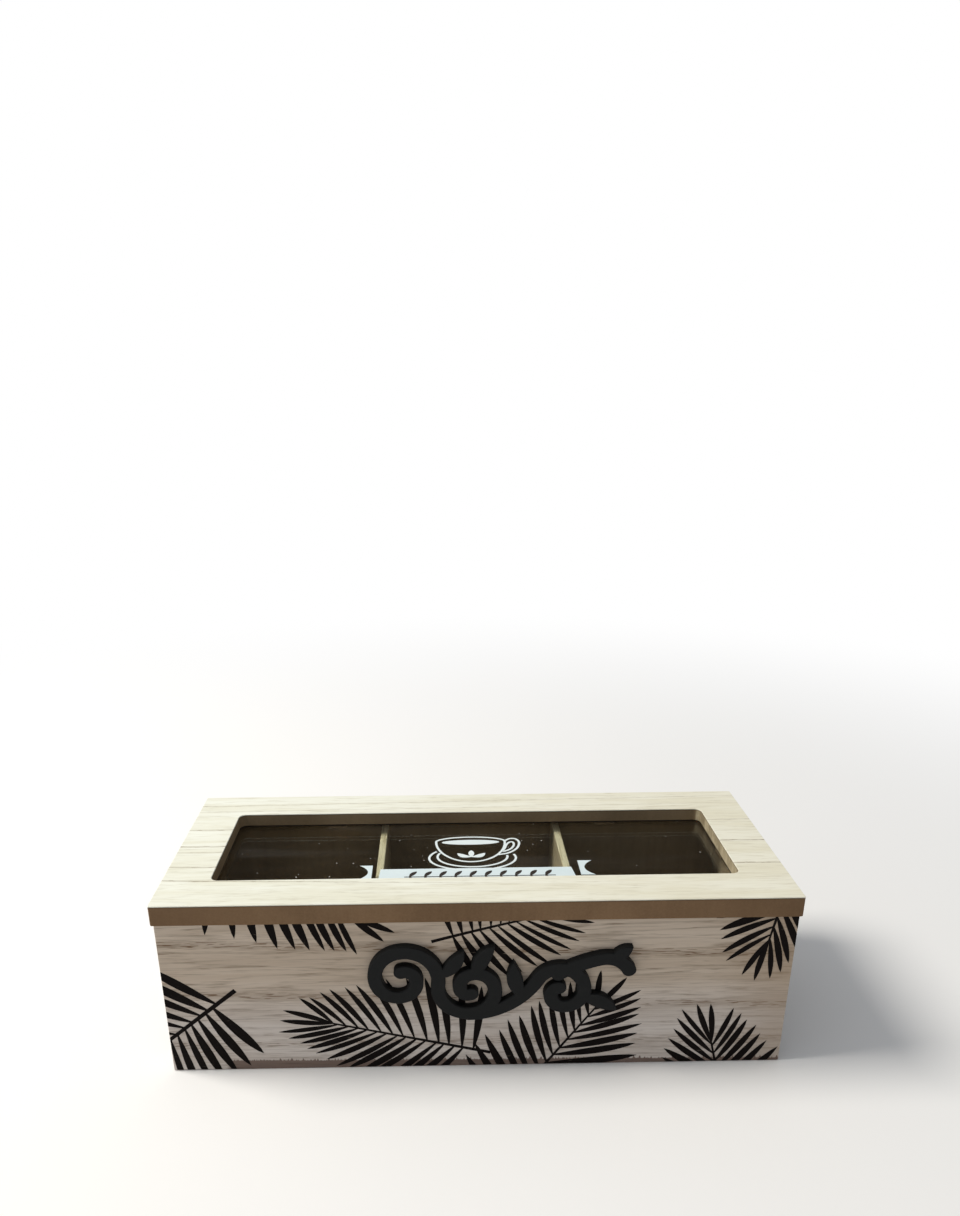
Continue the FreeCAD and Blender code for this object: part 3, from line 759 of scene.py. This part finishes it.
# %% The print on the two sides
SIDE_FRONDS = {
    "left": [
        dict(base=(42, -8), tip=(-12, 28), left=(14, 6, 62, 62, 22, 1, 31, 17, 3),
             right=(14, 8, 63, 60, 24, 1, 31, 18, 2), ends=((-6, 19), (9, 18)), bow=1.0),
        dict(base=(-50, 84), tip=(-13, 62), left=None, right=(10, 3, 42, 76, 32, 1.3, 24, 17, 2),
             ends=((-14, 16), (3, 17)), width=2.7),
    ],
    "right": [
        dict(base=(-46, -6), tip=(6, 33), left=(14, 6, 63, 60, 22, 1, 30, 17, 3),
             right=(14, 4, 62, 64, 24, 1, 32, 18, 2), ends=((-9, 18), (6, 19)), bow=-1.0),
        dict(base=(33, 82), tip=(27, 55), left=(6, 3, 26, 44, 20, 1, 26, 18, 0),
             right=(6, 5, 25, 62, 38, 1, 25, 19, 0), ends=((-16, 17), (2, 18)), width=2.4),
    ],
}
half_depth = -front_face / MM
for name, facing in (("left", -1), ("right", 1)):
    def onto_side(points, rise, facing=facing):
        depth = facing * points[:, 0]
        return np.stack([facing * (half_length * MM + rise), depth, points[:, 1]], -1)

    side_print = lay_ink(name + "_palm_print", all_fronds(SIDE_FRONDS[name]), onto_side,
                         (-half_depth, half_depth, FOOT, RIM), wood_ink, "case")

# %% [markdown]
# ## The print on the glass
#
# Pale ink on the pane shows a cup on its saucer over a ribbon. Bevelled curves would make round
# wires, and ink lies flat, so every line is a band of even width along an ellipse or a smooth
# curve. The ribbon's ends are cut hollow, like a swallow's tail, and a row of dark leaves runs
# along its middle.

# %% Ellipses, bands and smooth curves
def oval(centre, across, up, start=0, end=360, count=72):
    """Points along an ellipse, from one angle to another."""
    angle = np.radians(np.linspace(start, end, count + 1))
    return np.array(centre) + np.stack([across * np.cos(angle), up * np.sin(angle)], -1)


def band(line, width):
    """A line with an even width: each point is moved half of it to either side of the heading."""
    ahead = np.gradient(line, axis=0)
    if np.allclose(line[0], line[-1]):
        ahead[0] = ahead[-1] = line[1] - line[-2]
    ahead /= np.hypot(*ahead.T)[:, None]
    side = np.stack([-ahead[:, 1], ahead[:, 0]], -1) * width / 2
    return np.stack([line - side, line + side], 1)[None]


def between(lower, upper):
    """The area between two lines that run the same way, the lower one on the right hand."""
    return np.stack([lower, upper], 1)[None]


def smooth(points, steps=10, closed=False):
    """A curve through all points: between two of them it is a cubic, whose headings are taken
    from the points before and after."""
    points = np.array(points, float)
    ends = points[[-1]], points[:2]
    if not closed:
        ends = 2 * points[:1] - points[1:2], 2 * points[-1:] - points[-2:-1]
    run = np.concatenate([ends[0], points, ends[1]])
    share = np.linspace(0, 1, steps, endpoint=False)[:, None]
    before, here, there, after = run[:-3, None], run[1:-2, None], run[2:-1, None], run[3:, None]
    curve = 0.5 * (2 * here + (there - before) * share
                   + (2 * before - 5 * here + 4 * there - after) * share ** 2
                   + (3 * here - before - 3 * there + after) * share ** 3)
    return np.concatenate([curve.reshape(-1, 2), run[-2:-1]])


print("a band along a circle has the shape", band(oval((0, 0), 10, 10), 1).shape)

# %% The cup and its saucer
LINE = 0.95              # how wide a drawn line is, in mm
cup = [
    band(oval((-0.8, 11.2), 14.6, 4.2, 0, 180), LINE),
    band(oval((-0.8, 11.2), 14.6, 17.8, 180, 360), LINE),
    band(oval((-0.4, -3.3), 17.8, 10.3, 146, 376), LINE),
    band(oval((-0.4, -2.2), 14.4, 8.7, 158, 366), LINE),
    band(smooth([(13.6, 11.4), (16.0, 13.4), (18.6, 13.1), (19.8, 9.6), (18.3, 4.4), (14.6, 0.6),
                 (9.9, -1.0)]), LINE),
    band(smooth([(14.2, 7.6), (15.6, 10.1), (17.2, 10.2), (17.3, 7.2), (15.5, 3.8), (12.2, 1.9),
                 (13.4, 4.9)], closed=True), LINE),
    between(oval((-0.8, 10.6), 12.2, 2.2, 180, 360), oval((-0.8, 10.6), 12.2, 2.2, 180, 0)),
]
sprout_angles = np.radians([152.0, 90.0, 28.0])
sprout = lances(np.full((3, 2), (-0.8, -2.4)), sprout_angles, np.array([6.6, 5.6, 6.6]),
                np.array([2.6, 2.4, 2.6]), np.array([0.9, 0.0, -0.9]))
cup.append(sprout)
print("shapes in the cup:", len(cup) - 1 + len(sprout))

# %% The ribbon, its tails and the leaves along it
RIBBON_TOP, RIBBON_FOOT = -12.0, -23.4
ribbon = between(np.array([[-38.4, RIBBON_FOOT], [40.4, RIBBON_FOOT]]),
                 np.array([[-37.7, RIBBON_TOP], [39.0, RIBBON_TOP]]))
down = np.linspace(0, 1, 17)
hollow = 3.7 * 4 * down * (1 - down)     # a parabola 3.7 mm deep


def tail(inner, outer, top, foot):
    """A ribbon's tail: its inner side is straight, its outer one is hollowed by a parabola."""
    height = top + (foot - top) * down
    toward_inner = math.copysign(1, inner - outer)
    straight = np.stack([np.full_like(down, inner), height], -1)
    cut = np.stack([outer + toward_inner * hollow, height], -1)
    return between(straight, cut) if inner < outer else between(cut, straight)


tails = [tail(42.2, 48.0, -6.8, -18.6), tail(-41.0, -46.3, -8.8, -20.2)]
SPRIG_HEIGHT, SPRIG_PAIRS, LEAF_ANGLE = -18.6, 10, 56
sprig_x = np.linspace(-26, 28, SPRIG_PAIRS)
sprig_start = np.stack([sprig_x, np.full(SPRIG_PAIRS, SPRIG_HEIGHT)], -1)
leaf_length, leaf_width = np.full(SPRIG_PAIRS, 5.2), np.full(SPRIG_PAIRS, 1.9)
sprig = np.concatenate([
    lances(sprig_start, np.full(SPRIG_PAIRS, side * math.radians(LEAF_ANGLE)), leaf_length,
           leaf_width, side * 0.05 * leaf_length) for side in (1, -1)
])
sprig_stem = band(np.array([[-28.0, SPRIG_HEIGHT], [32.0, SPRIG_HEIGHT]]), 0.5)
print("leaves on the ribbon:", len(sprig))

# %% Ink on the pane
PANE_SEEN = (-101, 101, -29, 28)         # left, right, bottom and top of the pane, in mm


def onto_glass(points, rise):
    return np.stack([points[:, 0], points[:, 1], glass_top + rise], -1)


def onto_ribbon(points, rise):
    return onto_glass(points, rise + INK)


def glass_ink(name, cells, detail, roughness, dark, light, **sockets):
    """Ink whose colour drifts between two tones, by noise with so many cells per metre."""
    finish = Finish(name, **sockets)
    drift = finish.noise((cells,) * 3, detail, roughness)
    finish.colour(finish.blend(drift, dark, light))
    return finish


pale_ink = glass_ink("pale_ink", 160, 3.0, 0.5, paint(226, 238, 238), paint(240, 247, 248),
                     Roughness=0.5, Specular_IOR_Level=0.3)
ribbon_ink = glass_ink("ribbon_ink", 90, 4.0, 0.6, paint(214, 230, 234), paint(232, 243, 245),
                       Roughness=0.5, Specular_IOR_Level=0.3)
mark_ink = glass_ink("mark_ink", 400, 2.0, 0.5, paint(40, 34, 30), paint(62, 54, 48),
                     Roughness=0.6, Specular_IOR_Level=0.25)

lay_ink("cup_print", cup, onto_glass, PANE_SEEN, pale_ink, "lid")
lay_ink("ribbon_print", [ribbon, *tails], onto_glass, PANE_SEEN, ribbon_ink, "lid")
leaf_row = lay_ink("ribbon_leaf_row", [sprig, sprig_stem], onto_ribbon, PANE_SEEN, mark_ink, "lid")

# %% [markdown]
# ## Floor
#
# The floor is pale near the box, where it takes the shadow, and runs out into pure white. A curved
# backdrop would do the same for one view only. A flat disc that turns white far from the box does
# it all round. The white is for what looks at it, the camera and the mirrors, and adds no light.

# %% The floor
FLOOR_RADIUS, FLOOR_CORNERS = 4.0, 96
FLOOR_DROP = 0.02 * MM               # a hair below the box, so that the two never share a plane
FADE_START, FADE_END = 0.16, 0.75    # from the box's middle, in metres


def seen(network):
    """1 for rays that look at the background: straight, mirrored or through glass."""
    ray = network.add("ShaderNodeLightPath").outputs
    looked = network.math("MAXIMUM", ray["Is Camera Ray"], ray["Is Glossy Ray"])
    return network.math("MAXIMUM", looked, ray["Is Transmission Ray"])


floor_finish = Finish("floor", Roughness=1.0, Specular_IOR_Level=0.0)
distance = floor_finish.add("ShaderNodeVectorMath", {0: floor_finish.place}, operation="LENGTH")
far = floor_finish.rise(distance.outputs["Value"], FADE_START, FADE_END)
looking = seen(floor_finish)
pale_floor = floor_finish.blend(floor_finish.noise((5, 5, 5), 2.0), paint(250, 249, 247),
                                paint(252, 251, 250))
floor_finish.colour(floor_finish.blend(looking, paint(206, 204, 202), pale_floor))
white = floor_finish.add("ShaderNodeEmission", {"Color": (1, 1, 1, 1), "Strength": 1.0})
fade = floor_finish.math("MULTIPLY", far, looking)
floor_finish.surface(floor_finish.mix(fade, floor_finish.shader, white))

turn = np.linspace(0, 2 * np.pi, FLOOR_CORNERS + 1)[:-1]
rim = np.stack([FLOOR_RADIUS * np.cos(turn), FLOOR_RADIUS * np.sin(turn),
                np.full(FLOOR_CORNERS, -FLOOR_DROP)], -1)
floor_mesh = bpy.data.meshes.new("floor")
floor_mesh.from_pydata(rim.tolist(), [], [list(range(FLOOR_CORNERS))])
floor_mesh.materials.append(floor_finish.material)
floor = bpy.data.objects.new("floor", floor_mesh)
bpy.context.scene.collection.objects.link(floor)
print("the floor is", 2 * FLOOR_RADIUS, "m across")

# %% [markdown]
# ## Light and background
#
# One large, soft lamp high on the left and a little behind the box lights the lid and leaves the
# front in shade. The sky gives a weak fill, stronger from the left. Three lamps would be the usual
# set, but each adds a shadow, and one lamp with a soft sky keeps a single, clear one. What looks
# at the sky sees white, and what mirrors it overhead sees a dark ceiling, so that the glass stays
# clear.

# %% The lamp
LAMP_DIRECTION = np.array([-0.62, 0.03, 0.77])
LAMP_DISTANCE, LAMP_WIDTH = 1.6, 0.61    # in metres
LAMP_POWER = 20.6                        # in watts

lamp_light = bpy.data.lights.new("key", "AREA")
lamp_light.shape = "DISK"
lamp_light.size = LAMP_WIDTH
lamp_light.energy = LAMP_POWER
lamp_light.color = paint(255, 251, 243)[:3]
lamp = bpy.data.objects.new("key", lamp_light)
lamp.location = LAMP_DIRECTION / np.linalg.norm(LAMP_DIRECTION) * LAMP_DISTANCE
aim = -lamp.location
lamp.rotation_euler = aim.to_track_quat("-Z", "Y").to_euler()
lamp.visible_camera = False
bpy.context.scene.collection.objects.link(lamp)
print("the lamp stands at", [round(value, 2) for value in lamp.location])

# %% The sky
FILL = 0.40                          # how strong the sky's own light is
CEILING = (0.05, 0.043, 0.033, 1)    # the room overhead, as the glass and metal mirror it
CEILING_EDGE = (0.32, 0.43)          # where it starts, as a share of the way up the sky

world = bpy.data.worlds.new("studio")
bpy.context.scene.world = world
world.use_nodes = True
sky = Network(world.node_tree)
direction = sky.add("ShaderNodeTexCoord").outputs["Generated"]
rightward, _, upward = sky.add("ShaderNodeSeparateXYZ", {0: direction}).outputs
camera_ray = sky.add("ShaderNodeLightPath").outputs["Is Camera Ray"]
mirrored = sky.math("SUBTRACT", 1.0, camera_ray)
overhead = sky.math("MULTIPLY", sky.rise(upward, *CEILING_EDGE), mirrored)
backdrop = sky.blend(overhead, (1, 1, 1, 1), CEILING)
shown = sky.add("ShaderNodeBackground", {"Color": backdrop, "Strength": 1.0})
fill_strength = sky.math("MULTIPLY_ADD", rightward, -0.4 * FILL, FILL)
fill = sky.add("ShaderNodeBackground", {"Color": paint(246, 250, 255), "Strength": fill_strength})
sky.set(sky.tree.nodes["World Output"], {"Surface": sky.mix(seen(sky), fill, shown).outputs[0]})
bpy.context.scene.view_settings.view_transform = "Standard"
print("nodes in the sky:", len(sky.tree.nodes))
